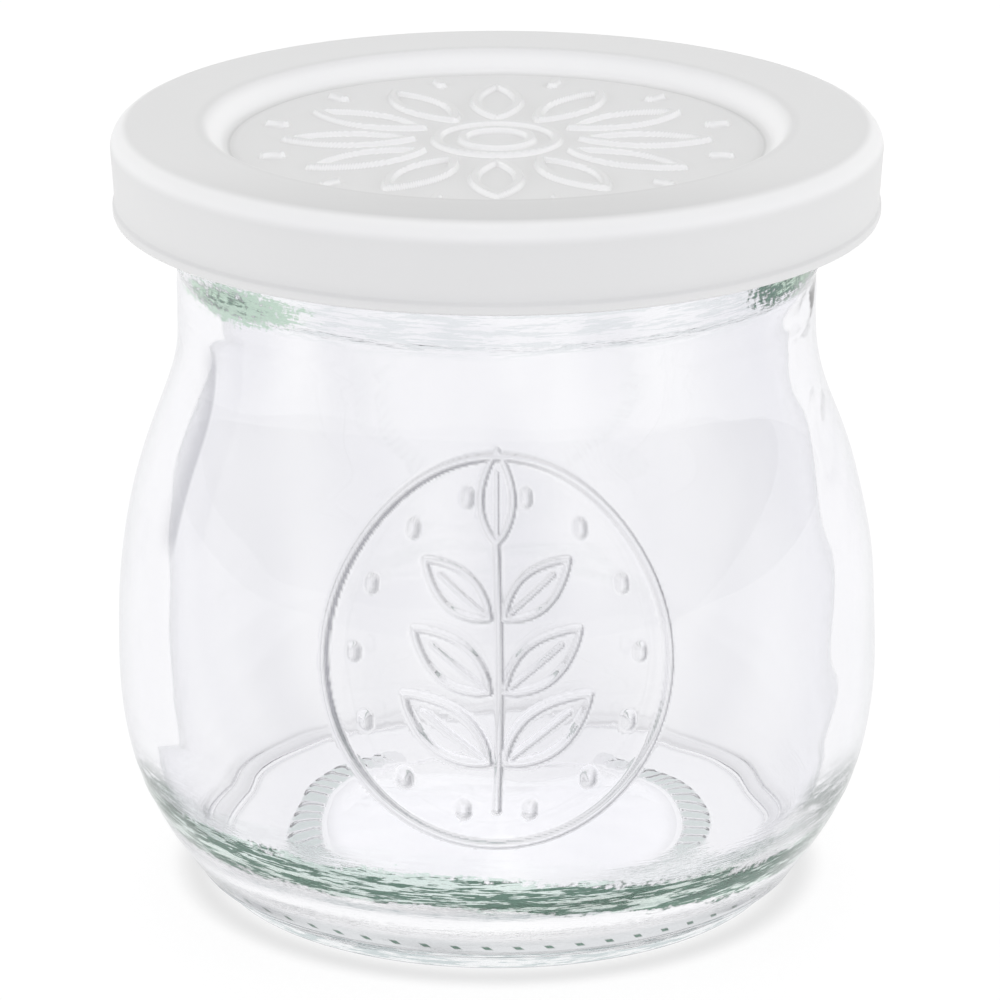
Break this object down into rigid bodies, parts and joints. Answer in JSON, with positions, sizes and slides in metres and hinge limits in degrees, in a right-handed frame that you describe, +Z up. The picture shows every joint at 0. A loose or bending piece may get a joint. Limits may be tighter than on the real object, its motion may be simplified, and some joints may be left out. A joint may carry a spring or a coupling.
{
  "type": "canning jar",
  "caption": "Round-bellied clear glass jar with a thick base, a straight neck, a raised leaf emblem and a white press-on plastic cover.",
  "frame": {"origin": "centre of the ring that the jar stands on, at the bottom of the part", "axes": "+Z up along the jar's turning axis, -Y out of the front, where the raised emblem is"},
  "size_m": [0.072, 0.0724, 0.0736],
  "materials": {
    "glass": "clear, faintly green soda-lime glass",
    "plastic": "satin white polyethylene"
  },
  "bodies": {
    "root": {"jar": "glass", "lid": "plastic"}
  },
  "joints": []
}
